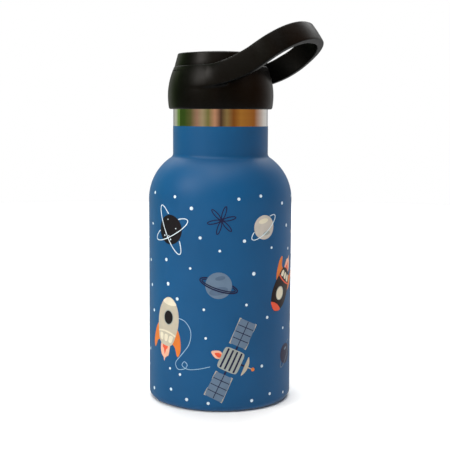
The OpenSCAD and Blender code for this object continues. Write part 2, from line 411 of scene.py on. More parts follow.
def steel_outer():
    band_r = NECK_R - COAT_T
    inner_r = ROOT_R - OUTER_T
    step_r, lag = 0.35, 0.2
    upper = rounded([(band_r, PAINT_Z), (band_r, STEP_Z, step_r), (ROOT_R, STEP_TOP_Z, step_r),
                     (ROOT_R, LIP_Z - LIP_T), (inner_r, LIP_Z - LIP_T), (inner_r, STEP_TOP_Z - lag),
                     (band_r - OUTER_T, STEP_Z - lag), (band_r - OUTER_T, PAINT_Z)])
    wall = lathe(wall_line(COAT_T, SHELL_Z0) + upper + wall_line(COAT_T + OUTER_T, SHELL_Z0)[::-1])
    return joined(wall, thread_ridge(ROOT_R, 1, THREAD_Z))


def steel_base():
    cup_t, recess_r, recess_z, hole_r, bevel = 0.6, 27.0, 2.2, 1.0, 0.25
    inside = COAT_T + cup_t
    recess_top = recess_z + cup_t
    return lathe([(recess_r, bevel), (recess_r + bevel, 0.0)] + corner_line(COAT_T)
                 + [(BODY_R - COAT_T, SHELL_Z0), (BODY_R - inside, SHELL_Z0)]
                 + corner_line(inside)[::-1]
                 + [(recess_r + cup_t, inside), (recess_r + cup_t, recess_top), (hole_r, recess_top),
                    (hole_r, recess_z), (recess_r, recess_z)])


def base_disc():
    """The flush disc under the base, with two pressed rings and a shallow dimple."""
    low, high, radius, bevel = 0.5, 1.1, 26.9, 0.15
    face = [(radius, low + bevel), (radius - bevel, low)]
    for groove_r, groove_w, groove_d in ((22.5, 0.9, 0.28), (20.3, 0.5, 0.2), (7.0, 1.2, 0.25)):
        face += [(groove_r + groove_w * math.cos(a), low + groove_d * math.sin(a) ** 2)
                 for a in [math.pi * k / 10 for k in range(11)]]
    return lathe([(0.0, low)] + face[::-1] + [(radius, high), (0.0, high)])


def steel_inner():
    lip_r, lip_depth = 0.38, 4.0
    wall = wall_line(VACUUM, WELD_Z)
    inside = wall_line(VACUUM + INNER_T, WELD_Z)
    lip = rounded([(NECK_R - VACUUM, LIP_Z - LIP_T), (ROOT_R, LIP_Z - LIP_T), (ROOT_R, LIP_Z, lip_r),
                   (MOUTH_R, LIP_Z, lip_r), (MOUTH_R, LIP_Z - lip_depth)])
    return lathe(wall + lip + inside[::-1])


def steel_inner_bottom():
    corner = 5.0
    radius = BODY_R - VACUUM
    centre = (radius - corner, INNER_BOTTOM_Z + corner)
    return lathe([(0.0, INNER_BOTTOM_Z)] + arc(centre, corner, -90, 0, CORNER_STEPS) + [(radius, WELD_Z)]
                 + [(radius - INNER_T, WELD_Z)] + arc(centre, corner - INNER_T, 0, -90, CORNER_STEPS)
                 + [(0.0, INNER_BOTTOM_Z + INNER_T)])


# ---- the cap
def drum_radius(z):
    """The drum's outer radius: it swells to its belly and then draws in to the rim."""
    foot_in = 0.6
    below = np.maximum(BELLY_Z - z, 0) / (BELLY_Z - FOOT_Z)
    above = np.maximum(z - BELLY_Z, 0) / (RIM_Z - BELLY_Z)
    return CAP_R - foot_in * below ** 2 - (CAP_R - RIM_R) * above ** 2


def cavity_outline():
    """The hollow in the drum, drawn past the axis and past both ends."""
    past_axis, below, above = -9.0, CAP_Z - 3.0, RIM_Z + 3.0
    return [(past_axis, below), (SKIRT_R, below), (SKIRT_R, NECK_IN_Z), (UPPER_SKIRT_R, NECK_SLOPE_Z),
            (UPPER_SKIRT_R, SOCKET_Z), (TOP_HOLE_R, SOCKET_Z), (TOP_HOLE_R, above), (past_axis, above)]


def loop_outline():
    """The loop's outer outline in the band's own plane: distance from the axis, and half width."""
    root, steps = ROOT_L - 2.0, 90
    strap = [(l, LOOP_HALF_W - (l * l / LOOP_HALF_W / 2 if l < 0 else STRAP_TAPER * l / STRAP_END))
             for l in [root + (STRAP_END - root) * i / steps for i in range(steps)]]
    tip = [(STRAP_END + (LOOP_REACH - STRAP_END) * math.cos(a) ** (2 / TIP_POWER),
            (LOOP_HALF_W - STRAP_TAPER) * math.sin(a) ** (2 / TIP_POWER))
           for a in [math.pi / 2 * (1 - i / steps) for i in range(steps)]]
    half = strap + tip
    return half + [(LOOP_REACH, 0.0)] + [(l, -w) for l, w in half[::-1]]


def distance_to(x, y, outline):
    """Signed distance from points to a closed outline, negative inside."""
    nearest = np.full(x.shape, 1e9)
    inside = np.zeros(x.shape, bool)
    for (ax, ay), (bx, by) in zip(outline, outline[1:] + outline[:1]):
        ex, ey = bx - ax, by - ay
        length = ex * ex + ey * ey
        if length < 1e-12:
            continue
        t = np.clip(((x - ax) * ex + (y - ay) * ey) / length, 0, 1)
        nearest = np.minimum(nearest, (x - ax - t * ex) ** 2 + (y - ay - t * ey) ** 2)
        if ay != by:
            inside ^= ((ay > y) != (by > y)) & (x < ax + (y - ay) * ex / (by - ay))
    return np.where(inside, -1.0, 1.0) * np.sqrt(nearest)


def sampled(outline, low, high, step=0.12):
    """A function that reads the distance to an outline off a fine grid."""
    xs = np.arange(low[0], high[0] + step, step)
    ys = np.arange(low[1], high[1] + step, step)
    table = distance_to(*np.meshgrid(xs, ys, indexing="ij"), outline)

    def read(x, y):
        u = np.clip((x - low[0]) / step, 0, len(xs) - 1.001)
        v = np.clip((y - low[1]) / step, 0, len(ys) - 1.001)
        i, j = u.astype(int), v.astype(int)
        u, v = u - i, v - j
        return ((table[i, j] * (1 - u) + table[i + 1, j] * u) * (1 - v)
                + (table[i, j + 1] * (1 - u) + table[i + 1, j + 1] * u) * v)

    return read


def both(a, b, radius):
    """The overlap of two fields, with its outer edge rounded to a radius."""
    u, v = a + radius, b + radius
    return np.minimum(np.maximum(u, v), 0) + np.hypot(np.maximum(u, 0), np.maximum(v, 0)) - radius


def melted(a, b, reach):
    """Two fields as one, with a fillet where they meet."""
    h = np.maximum(reach - np.abs(a - b), 0) / reach
    return np.minimum(a, b) - h * h * reach / 4


def face_half(l, at_root):
    """Half the band's height at a distance along it, from its value at the root."""
    to_widest = at_root + (MID_HALF - at_root) * np.maximum(l, 0) / WIDEST_L
    to_tip = MID_HALF + (TIP_HALF - MID_HALF) * (l - WIDEST_L) / (LOOP_REACH - WIDEST_L)
    return np.where(l < WIDEST_L, to_widest, to_tip)


def unrolled(x, up):
    """A point beside the band as the distance along it and the height across its face."""
    tilt_c, tilt_s = math.cos(LOOP_TILT), math.sin(LOOP_TILT)
    bend_x, bend_z = BEND_START + BEND_R * tilt_s, BEND_R * (1 - tilt_c)
    out = x - BEND_START
    turn = np.arctan2(out, BEND_R - up)
    straight_l = BEND_END + (x - bend_x) * tilt_c + (up - bend_z) * tilt_s
    straight_h = (up - bend_z) * tilt_c - (x - bend_x) * tilt_s
    flat, straight = out < 0, turn > LOOP_TILT
    l = np.where(flat, x, np.where(straight, straight_l, BEND_START + BEND_R * turn))
    h = np.where(flat, up, np.where(straight, straight_h, BEND_R - np.hypot(out, BEND_R - up)))
    return l, h


def cap_field():
    """The field of the drum with its carrying loop, hollowed for the neck: negative in the plastic."""
    past, side_steps = 9, 160
    low_z, high_z = CAP_Z - past, RIM_Z + past
    side = [(float(drum_radius(z)), z) for z in np.linspace(low_z, high_z, side_steps)]
    section_box = ((0.0, CAP_Z - 4), (56.0, RIM_Z + 20))
    drum_side = sampled([(0.0, low_z)] + side + [(0.0, high_z)], *section_box)
    cavity = sampled(cavity_outline(), *section_box)
    plan = sampled(loop_outline(), (ROOT_L - 4.0, 0.0), (58.0, 30.0))
    foot_edge, rim_edge, band_edge, skirt_edge = 0.8, 0.4, 0.6, 0.3
    crown, past_edge, blend = 0.2, 1.2, 1.8
    lean_l, deepest, proud = 15.0, -1.5, 0.2
    level_l, rise = 3.0, 0.15
    strap_t, tip_more_t = 3.0, 0.9

    def field(x, y, z):
        r = np.hypot(x, y)
        drum = both(both(drum_side(r, z), FOOT_Z - z, foot_edge), z - RIM_Z, rim_edge)

        l, h = unrolled(x, z - LOOP_Z)
        half = np.where(h > 0, face_half(l, ROOT_UP), face_half(l, ROOT_DOWN))
        near_root = np.clip(1 - l / lean_l, 0, 1)
        near_root = near_root * near_root * (3 - 2 * near_root)
        sunk = np.clip(rise * (l - level_l), deepest, proud)
        lean = near_root * (LOOP_HALF_W - sunk - drum_radius(LOOP_Z + h))
        bulge = crown * np.minimum(np.abs(h) / half, past_edge) ** 2
        thick = strap_t + tip_more_t * np.clip(l / LOOP_REACH, 0, 1) ** 2
        outer = plan(l, np.abs(y)) + lean + bulge
        across = np.abs(outer + thick / 2) - thick / 2
        band = both(both(across, np.abs(h) - half, band_edge), ROOT_L - l, band_edge)

        return both(melted(drum, band, blend), -cavity(r, z), skirt_edge)

    return field


def surface_of(field, low, high, step):
    """The zero surface of a field as points, faces and normals: surface nets, then points moved onto it."""
    axes = [np.arange(low[i], high[i] + step, step) for i in range(3)]
    values = field(*np.meshgrid(*axes, indexing="ij"))
    inside = values < 0
    cells = tuple(n - 1 for n in values.shape)

    def corner(array, offset):
        return array[tuple(slice(o, o + n) for o, n in zip(offset, cells))]

    offsets = [(i, j, k) for i in (0, 1) for j in (0, 1) for k in (0, 1)]
    count = sum(corner(inside, o).astype(np.int8) for o in offsets)
    crossed = (count > 0) & (count < 8)
    where = np.argwhere(crossed)
    number = np.full(cells, -1, np.int64)
    number[crossed] = np.arange(len(where))

    # A point in each crossed cell, at the mean of the places where its edges are crossed.
    total = np.zeros((len(where), 3))
    hits = np.zeros(len(where))
    for a in offsets:
        for axis in range(3):
            if a[axis]:
                continue
            b = tuple(o + (i == axis) for i, o in enumerate(a))
            va, vb = corner(values, a)[crossed], corner(values, b)[crossed]
            cut = (va < 0) != (vb < 0)
            share = np.where(cut, va / np.where(cut, va - vb, 1), 0)
            for i in range(3):
                total[:, i] += np.where(cut, a[i] + (share if i == axis else 0), 0)
            hits += cut
    points = np.array([ax[0] for ax in axes]) + (where + total / hits[:, None]) * step

    # A face about each crossed edge, from the four cells round it.
    quads = []
    for axis in range(3):
        u, v = (axis + 1) % 3, (axis + 2) % 3
        ends = [slice(0, -1) if i == axis else slice(1, -1) for i in range(3)]
        more = [slice(1, None) if i == axis else slice(1, -1) for i in range(3)]
        first, second = inside[tuple(ends)], inside[tuple(more)]
        for leaving in (True, False):
            at = np.argwhere((first & ~second) if leaving else (~first & second))
            base = at + [0 if i == axis else 1 for i in range(3)]
            ring = []
            for du, dv in ((0, 0), (1, 0), (1, 1), (0, 1)):
                cell = base.copy()
                cell[:, u] -= 1 - du
                cell[:, v] -= 1 - dv
                ring.append(number[cell[:, 0], cell[:, 1], cell[:, 2]])
            quad = np.stack(ring, axis=1)
            quads.append(quad if leaving else quad[:, ::-1])

    nudge, rounds, least = 0.03, 5, 0.2
    for _ in range(rounds):
        slope = gradient(field, points, nudge)
        size = np.maximum((slope ** 2).sum(1), least)
        move = np.clip(field(*points.T) / size, -step / 2, step / 2)
        points -= slope * move[:, None]
    slope = gradient(field, points, nudge)
    normals = slope / np.linalg.norm(slope, axis=1, keepdims=True)
    return points, np.concatenate(quads).tolist(), normals


def gradient(field, points, nudge):
    """The slope of a field at points, by small steps both ways."""
    slopes = []
    for i in range(3):
        step = np.zeros(3)
        step[i] = nudge
        slopes.append((field(*(points + step).T) - field(*(points - step).T)) / (2 * nudge))
    return np.stack(slopes, axis=1)


def cap_puck():
    """The disc that closes the cap: a rim wall that leans in, and a faintly domed top with a soft edge."""
    side_r, flange_z, foot_z = RIM_R - 0.15, RIM_Z + 0.05, RIM_Z + 0.3
    spigot_r, spigot_z = TOP_HOLE_R - 0.1, SOCKET_Z + 0.3
    inner_r = TOP_HOLE_R - 1.8
    ceiling_z, cove = CAP_TOP_Z - 1.8, 0.8
    dome_r, dome_gap, edge = 170.0, 0.9, 0.8
    edge_r, edge_z = side_r - 1.4, CAP_TOP_Z - 1.9
    half = math.degrees(math.asin((edge_r - dome_gap) / dome_r))
    dome = arc((0.0, CAP_TOP_Z - dome_r), dome_r, 90.3 - half, 90, 16)
    return lathe([(inner_r, spigot_z), (spigot_r, spigot_z), (spigot_r, flange_z), (side_r, flange_z),
                  (side_r, foot_z)]
                 + arc((edge_r - edge, edge_z), edge, 14, 72, 8)
                 + dome + [(0.0, ceiling_z), (inner_r, ceiling_z - cove)])


def liner_ring():
    low, high = STEP_TOP_Z + 0.3, CEILING_Z + CEILING_T
    flange_in, collar_r = FLANGE_R - 1.6, ROOT_R + 0.4
    body = rounded([(FEMALE_WALL_R, low, 0.2), (SKIRT_R, low, 0.15), (SKIRT_R, NECK_IN_Z),
                    (UPPER_SKIRT_R, NECK_SLOPE_Z), (UPPER_SKIRT_R, SOCKET_Z), (flange_in, SOCKET_Z),
                    (flange_in, high), (collar_r, high), (collar_r, NECK_IN_Z),
                    (FEMALE_WALL_R, NECK_IN_Z - 0.8)])
    return joined(lathe(body), thread_ridge(FEMALE_WALL_R, -1, THREAD_Z + PITCH / 2))


def plug():
    """The insulated plug's skin: a cup with a soft bottom edge, a shallow dish below and a seal groove."""
    dish_r, dish_d, steps = 13.5, 0.35, 10
    groove_z, high = LIP_Z - 0.9, CEILING_Z + CEILING_T
    inner_r, floor_z = GROOVE_R - PLUG_T, PLUG_Z + PLUG_T
    under = [(dish_r * i / steps, PLUG_Z + dish_d * (1 - (i / steps) ** 2) ** 2) for i in range(steps)]
    upper = rounded([(0.0, PLUG_Z), (PLUG_R, PLUG_Z, 1.4), (PLUG_R, groove_z, 0.25), (GROOVE_R, groove_z),
                     (GROOVE_R, CEILING_Z), (FLANGE_R, CEILING_Z, 0.2), (FLANGE_R, high), (inner_r, high),
                     (inner_r, floor_z), (0.0, floor_z)])
    return lathe(under + upper[1:])


def silicone_seal():
    edge = 0.22
    inner_r, low, mid, high = GROOVE_R + 0.08, LIP_Z - 0.6, LIP_Z + 0.05, CEILING_Z - 0.08
    return lathe(rounded([(inner_r, low), (MOUTH_R - 0.15, low, edge), (MOUTH_R - 0.15, mid),
                          (ROOT_R - 0.2, mid, edge), (ROOT_R - 0.2, high, edge), (inner_r, high)]))


LATHED = [
    ("painted_coat", painted_coat, "bottle", "blue_powder_coat", "powder_coat"),
    ("steel_outer_wall", steel_outer, "bottle", "polished_steel", "outer_shell"),
    ("steel_base_cup", steel_base, "bottle", "satin_steel", "base_cup"),
    ("steel_base_disc", base_disc, "bottle", "satin_steel", "base_plate"),
    ("steel_inner_wall", steel_inner, "bottle", "satin_steel", "inner_vessel"),
    ("steel_inner_base", steel_inner_bottom, "bottle", "satin_steel", "inner_bottom"),
    ("cap_top_disc", cap_puck, "cap", "cap_black", "cap_top"),
    ("cap_thread_liner", liner_ring, "cap", "liner_black", "thread_ring"),
    ("cap_plug_skin", plug, "cap", "liner_black", "plug_cup"),
    ("mouth_seal", silicone_seal, "seal", "silicone", "seal_ring"),
]
for name, shape, body, slot, node in LATHED:
    piece = make_piece(name, *shape(), body, FINISHES[slot])
    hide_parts(node)

box_low, box_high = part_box("cap_shell")
margin = 1.0
cell = 0.45
points, faces, normals = surface_of(
    cap_field(), [c / MM - margin for c in box_low], [c / MM + margin for c in box_high], cell)
cap_drum = make_piece("cap_drum_and_loop", points, faces, "cap", FINISHES["cap_black"], sharp=180.0)
cap_drum.data.normals_split_custom_set_from_vertices(normals.tolist())
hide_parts("cap_shell")

KEPT = {
    "vacuum_seal": "solder",
    "getter": "getter_alloy",
    "reflective_foil": "copper_foil",
    "plug_foam": "foam",
}
for node, slot in KEPT.items():
    for material_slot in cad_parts[node].material_slots:
        material_slot.material = FINISHES[slot]


# ---- the print
CAMERA_AZIMUTH = -64.05
FILM = 0.03
FILM_LAYER = 0.02
FILM_SUNK = 0.02
films = {ink: ([], []) for ink in INKS}


def radius_at(v):
    """The painted face's radius at the height v, measured along the face above the straight wall."""
    if v > WALL_TOP_Z:
        return SHOULDER_CX + SHOULDER_R * math.cos((v - WALL_TOP_Z) / SHOULDER_R)
    return BODY_R


def on_body(angle, v, proud):
    """Points on the painted face at print angles and heights, lifted off it."""
    up = np.maximum(v - WALL_TOP_Z, 0) / SHOULDER_R
    down = np.minimum(v - BASE_CORNER_R, 0) / BASE_CORNER_R
    tilt = up + down
    low, high = v < BASE_CORNER_R, v > WALL_TOP_Z
    centre_r = np.where(high, SHOULDER_CX, np.where(low, FOOT_R, 0.0))
    bend_r = np.where(high, SHOULDER_R, np.where(low, BASE_CORNER_R, BODY_R)) + proud
    centre_z = np.where(high, WALL_TOP_Z, np.where(low, BASE_CORNER_R, v))
    r = centre_r + bend_r * np.cos(tilt)
    z = centre_z + np.where(high | low, bend_r * np.sin(tilt), 0.0)
    a = np.radians(CAMERA_AZIMUTH + angle)
    return np.stack([r * np.cos(a), r * np.sin(a), z], axis=1)


def turned(x, y, turn):
    """A point, or arrays of them, turned about the origin by degrees."""
    c, s = math.cos(math.radians(turn)), math.sin(math.radians(turn))
    return x * c - y * s, x * s + y * c


def lay(ink, place, flat, layer=0):
    """Lays a flat mesh on the body as a closed film of ink. place is (angle, height, turn, size)."""
    angle, v, turn, size = place
    flat_points, flat_faces = flat
    across, upward = turned(*(np.array(flat_points, float) * size).T, turn)
    angles = angle + np.degrees(across / radius_at(v))
    top = on_body(angles, v + upward, FILM + FILM_LAYER * layer)
    under = on_body(angles, v + upward, -FILM_SUNK)
    points, faces = films[ink]
    start, n = len(points), len(across)
    points += top.tolist() + under.tolist()
    faces += [tuple(start + i for i in face) for face in flat_faces]
    faces += [tuple(start + n + i for i in face[::-1]) for face in flat_faces]
    edges = {(face[i - 1], face[i]) for face in flat_faces for i in range(len(face))}
    faces += [(start + b, start + a, start + n + a, start + n + b) for a, b in edges if (b, a) not in edges]


def filled(outline, cut=1.0):
    """A flat outline as triangles, cut into strips about cut wide so that it bends round the body."""
    if signed_area(outline) < 0:
        outline = outline[::-1]
    sheet = bmesh.new()
    sheet.faces.new([sheet.verts.new((x, y, 0)) for x, y in outline])
    bmesh.ops.triangulate(sheet, faces=sheet.faces[:])
    spread = np.array(outline)
    for axis in (0, 1):
        low, high = spread[:, axis].min(), spread[:, axis].max()
        steps = int((high - low) / cut) if high - low > 1.6 * cut else 0
        for k in range(1, steps + 1):
            at, normal = Vector((0, 0, 0)), Vector((0, 0, 0))
            at[axis] = low + (high - low) * k / (steps + 1)
            normal[axis] = 1
            geometry = sheet.verts[:] + sheet.edges[:] + sheet.faces[:]
            bmesh.ops.bisect_plane(sheet, geom=geometry, plane_co=at, plane_no=normal)
    sheet.verts.index_update()
    flat = ([tuple(v.co.xy) for v in sheet.verts], [tuple(v.index for v in f.verts) for f in sheet.faces])
    sheet.free()
    return flat


def ellipse(x, y, rx, ry, turn=0.0, count=40):
    angles = [2 * math.pi * k / count for k in range(count)]
    around = [turned(rx * math.cos(a), ry * math.sin(a), turn) for a in angles]
    return [(x + dx, y + dy) for dx, dy in around]


def smooth_loop(corners, per, closed=True):
    """A smooth curve through points, with so many steps from each to the next."""
    n = len(corners)
    result = []
    for i in range(n if closed else n - 1):
        if closed:
            p = [corners[(i + k - 1) % n] for k in range(4)]
        else:
            p = [corners[min(max(i + k - 1, 0), n - 1)] for k in range(4)]
        for step in range(per):
            t = step / per
            result.append(tuple(
                0.5 * (2 * p[1][d] + (p[2][d] - p[0][d]) * t
                       + (2 * p[0][d] - 5 * p[1][d] + 4 * p[2][d] - p[3][d]) * t * t
                       + (3 * p[1][d] - p[0][d] - 3 * p[2][d] + p[3][d]) * t ** 3)
                for d in (0, 1)))
    return result if closed else result + [tuple(corners[-1])]


def stroke(path, width, closed=False, taper=False):
    """A line of a width along a path, as a strip of flat faces."""
    path = [Vector(p) for p in path]
    n = len(path)
    points = []
    for i, at in enumerate(path):
        before = path[i - 1] if closed or i else at
        after = path[(i + 1) % n] if closed or i < n - 1 else at
        side = (after - before).normalized().orthogonal() * width / 2
        if taper:
            side *= max(0.15, 1 - i / (n - 1))
        points += [tuple(at + side), tuple(at - side)]
    last = n if closed else n - 1
    faces = [(2 * i + 1, 2 * ((i + 1) % n) + 1, 2 * ((i + 1) % n), 2 * i) for i in range(last)]
    return points, faces


def flat_shape(ink, place, outline, layer=0):
    """Lays a filled outline."""
    lay(ink, place, filled(outline, 1 / place[3]), layer)


def soft_shape(ink, place, corners, layer=0, per=5):
    """Lays a filled shape whose outline runs smoothly through its corners."""
    flat_shape(ink, place, smooth_loop(corners, per), layer)


def dot(angle, v, size):
    lay("white", (angle, v, 0, 1), filled(ellipse(0, 0, size, size, count=14), cut=9))


def ring(place, ink, reach, flatness, tilt, width, layer):
    """A planet's ring, in planet radii: the stretch of it behind the planet isn't drawn."""
    count, planet_edge = 96, 1.01
    line, hidden = [], []
    for k in range(count):
        a = 2 * math.pi * k / count
        x, y = reach * math.cos(a), reach * flatness * math.sin(a)
        line.append(turned(x, y, tilt))
        hidden.append(math.sin(a) > 0 and math.hypot(x, y) < planet_edge)
    last = max(k for k in range(count) if hidden[k])
    onward = [(last + k) % count for k in range(1, count)]
    lay(ink, place, stroke([line[k] for k in onward if not hidden[k]], width), layer)


# A planet's bands by the planet's ink: (ink, x, y, half width, half height), in planet radii.
BANDS = {
    "sand": [("cream", -0.1, 0.52, 0.48, 0.2), ("ash", 0.22, -0.5, 0.384, 0.16)],
    "slate": [("dusk", 0.0, -0.42, 0.72, 0.3), ("dusk", 0.12, 0.56, 0.384, 0.16)],
    "navy": [("slate", 0.05, 0.5, 0.288, 0.12)],
}


def planet(angle, v, radius, ink, rings, specks=()):
    """A round planet with its ink's bands. rings is (ink, reach, flatness, tilt, width) and specks is
    (x, y, radius), all in planet radii but for the rings' widths."""
    place = (angle, v, 0, radius)
    band_turn = 12
    flat_shape(ink, place, ellipse(0, 0, 1, 1, count=48))
    marks = BANDS.get(ink, []) + [("white", x, y, r, r) for x, y, r in specks]
    for mark_ink, x, y, half_w, half_h in marks:
        flat_shape(mark_ink, place, ellipse(x, y, half_w, half_h, band_turn, 24), 1)
    for layer, (ring_ink, reach, flatness, tilt, width) in enumerate(rings, 3):
        ring(place, ring_ink, reach, flatness, tilt, width / radius, layer)


def line_star(angle, v, size, ink, turn):
    """A drawn star: eight rays, long and short by turns, about a small ring."""
    place = (angle, v, turn, size)
    rays, short = 8, 0.62
    for k in range(rays):
        a = 2 * math.pi * k / rays
        tip = short if k % 2 else 1.0
        path = [(r * math.cos(a), r * math.sin(a)) for r in np.linspace(0.2, tip, 7)]
        lay(ink, place, stroke(path, 0.15, taper=True))
    lay(ink, place, stroke(ellipse(0, 0, 0.17, 0.17, count=20), 0.07, closed=True), 1)


def loop_star(angle, v, size, ink, turn):
    """A drawn star of six thin loops that start at its centre."""
    place = (angle, v, turn, size)
    loops, middle, half_l, half_w = 6, 0.56, 0.46, 0.12
    for k in range(loops):
        a = 360 / loops * k
        petal = ellipse(*turned(middle, 0, a), half_l, half_w, a, count=28)
        lay(ink, place, stroke(petal, 0.075, closed=True), k % 2)
    lay(ink, place, filled(ellipse(0, 0, 0.13, 0.13, count=16)), 2)


def comet(angle, v, size, turn):
    """A small round comet with three trailing lines."""
    place = (angle, v, turn, size)
    flat_shape("cream", place, ellipse(0, 0, 0.24, 0.24, count=24))
    for side, reach in ((-0.16, 0.8), (0.0, 1.15), (0.16, 0.9)):
        path = [(0.3 + reach * k / 8, side + 0.1 * math.sin(k / 3)) for k in range(9)]
        lay("peach", place, stroke(path, 0.09, taper=True))


def rocket(angle, v, turn, size, hull, window, fin, stripe):
    """A plump rocket that points up before it is turned. Its hull is 24 units long."""
    place = (angle, v, turn, size)
    flame = [(-2.6, -10), (-3.3, -13.5), (-1.9, -16.5), (-1.2, -13.8), (0.2, -19), (1.3, -13.8),
             (2.5, -16), (3.1, -13), (2.6, -10)]
    soft_shape("peach", place, flame)
    inner_flame = [(-1.5, -10), (-1.7, -12.4), (-0.7, -13.2), (0.1, -15.6), (0.9, -13), (1.7, -12.2),
                   (1.5, -10)]
    soft_shape("red", place, inner_flame, 1)
    for side in (-1, 1):
        wing = [(5.4, -1.0), (8.4, -4.6), (9.8, -11.4), (8.4, -14.6), (6.4, -10.6), (4.2, -8.4)]
        soft_shape(fin, place, [(side * x, y) for x, y in wing], 1)
    flank = [(3.2, 11.2), (5.9, 6.8), (6.9, 1.2), (6.2, -4.6), (4.2, -10.0)]
    body = [(0, 12.6)] + flank + [(0, -11.2)] + [(-x, y) for x, y in flank[::-1]]
    soft_shape(hull, place, body, 2)
    nose = [(0, 12.5), (2.6, 11.5), (4.3, 9.6), (0, 8.7), (-4.3, 9.6), (-2.6, 11.5)]
    soft_shape(stripe, place, nose, 3, per=4)
    waist = 5.9
    lay(stripe, place, stroke([(x, -4.2 - 0.03 * x * x) for x in np.linspace(-waist, waist, 14)], 0.8), 3)
    for x in (-3.4, 0.0, 3.4):
        tile = [(x - 1.1, -5.9), (x + 1.1, -5.9), (x * 0.85 + 0.9, -8.8), (x * 0.85 - 0.9, -8.8)]
        soft_shape("cream", place, tile, 3, per=4)
    window_x, window_y, half_w, half_h = 0.4, 2.8, 3.0, 3.5
    flat_shape(window, place, ellipse(window_x, window_y, half_w, half_h), 3)
    frame_line = ellipse(window_x, window_y, half_w, half_h, count=36)
    lay("ash", place, stroke(frame_line, 0.45, closed=True), 4)


def satellite(angle, v, turn, size):
    """A plain satellite: a striped can between two long panels, with a side dish and a thruster."""
    place = (angle, v, turn, size)
    for side in (-1, 1):
        lay("navy", place, stroke([(0, side * y) for y in (5.0, 6.5, 8.0)], 0.9))
        panel = [(x, side * y) for x, y in ((-4.3, 7.6), (4.3, 7.6), (4.6, 20.4), (-4.6, 20.4))]
        flat_shape("slate", place, panel, 1)
        lay("beige", place, stroke(panel, 0.5, closed=True), 3)
        lay("navy", place, stroke([(0, side * y) for y in np.linspace(7.8, 20.2, 12)], 0.4), 2)
        for y in (10.8, 14.0, 17.2):
            lay("navy", place, stroke([(x, side * y) for x in np.linspace(-4.2, 4.2, 8)], 0.4), 2)
    soft_shape("peach", place, [(-5.4, -1.4), (-7.6, -1.9), (-10.4, 0), (-7.6, 1.9), (-5.4, 1.4)])
    soft_shape("red", place, [(-5.4, -0.8), (-7.0, -1.0), (-8.6, 0), (-7.0, 1.0), (-5.4, 0.8)], 1)
    lay("navy", place, stroke([(5.0, 0), (6.4, 0), (8.0, 0)], 0.9))
    dish = [(7.6, -4.8), (8.9, -2.6), (9.3, 0), (8.9, 2.6), (7.6, 4.8), (7.4, 2.4), (7.3, 0), (7.4, -2.4)]
    soft_shape("beige", place, dish, 2)
    lay("beige", place, stroke([(8.8, 0), (10.4, 0), (12.0, 0)], 0.45), 1)
    flat_shape("orange", place, ellipse(12.2, 0, 0.9, 0.9, count=18), 2)
    can = [(-5.3, 0), (-5.2, -4.2), (-4.0, -5.4), (0, -5.6), (4.0, -5.4), (5.2, -4.2), (5.3, 0), (5.2, 4.2),
           (4.0, 5.4), (0, 5.6), (-4.0, 5.4), (-5.2, 4.2)]
    soft_shape("ash", place, can, 3, per=4)
    for x in (-3.4, -1.1, 1.2, 3.5):
        lay("navy", place, stroke([(x, y) for y in np.linspace(-5.0, 5.0, 9)], 0.9), 4)


# Each motif starts with its angle from the camera's side in degrees and its height in millimetres.
SEEN_MOTIFS = [
    (planet, (-41.7, 85.4, 7.0, "night",
              [("white", 1.6, 0.27, 26, 0.4), ("white", 1.8, 0.25, -62, 0.4)],
              [(-0.52, -0.42, 0.05), (-0.3, -0.6, 0.05), (-0.12, -0.42, 0.04), (0.05, -0.66, 0.05),
               (-0.36, -0.3, 0.03), (0.5, 0.1, 0.04), (-0.2, 0.68, 0.04)])),
    (loop_star, (1.4, 90.7, 6.6, "navy", 12)),
    (planet, (36.4, 86.9, 5.7, "sand", [("white", 1.5, 0.3, 38, 0.35)])),
    (planet, (-0.7, 60.4, 6.2, "slate", [("navy", 1.48, 0.27, -18, 0.6), ("navy", 1.3, 0.2, -18, 0.5)])),
    (rocket, (-44.8, 40.8, -8, 1.0, "beige", "night", "orange", "cream")),
    (satellite, (9.0, 25.0, -25, 0.98)),
    (rocket, (57.5, 56.5, 148, 0.92, "night", "cream", "orange", "red")),
    (planet, (65.0, 23.9, 5.0, "navy", [("slate", 1.5, 0.3, 52, 0.4)])),
]
FAR_MOTIFS = [
    (line_star, (86.0, 84.0, 5.6, "cream", 20)),
    (comet, (84.0, 36.0, 9.0, 35)),
    (planet, (103.0, 66.0, 6.8, "sand", [("navy", 1.42, 0.28, -24, 0.5)])),
    (rocket, (122.0, 37.0, 24, 0.96, "ash", "navy", "red", "cream")),
    (planet, (126.0, 91.0, 5.4, "night", [("white", 1.5, 0.28, 15, 0.4)], [(0.2, 0.3, 0.05)])),
    (loop_star, (150.0, 68.0, 6.0, "navy", 0)),
    (satellite, (166.0, 30.0, 14, 0.85)),
    (planet, (171.0, 88.0, 6.4, "slate", [("navy", 1.45, 0.26, 28, 0.5)])),
    (comet, (190.0, 62.0, 10.0, 150)),
    (rocket, (212.0, 84.0, -118, 0.78, "beige", "night", "orange", "red")),
    (planet, (208.0, 40.0, 7.2, "sand", [("white", 1.4, 0.3, -30, 0.4)])),
    (loop_star, (231.0, 60.0, 5.4, "navy", 30)),
    (planet, (240.0, 19.0, 5.2, "night", [("white", 1.5, 0.28, 40, 0.4)], [(0.1, 0.35, 0.05)])),
    (comet, (250.0, 90.0, 8.0, 20)),
    (planet, (258.0, 66.0, 5.0, "slate", [("navy", 1.45, 0.26, -35, 0.5)])),
    (line_star, (272.0, 36.0, 5.0, "cream", 10)),
]
MOTIFS = SEEN_MOTIFS + FAR_MOTIFS
for draw, settings in MOTIFS:
    draw(*settings)

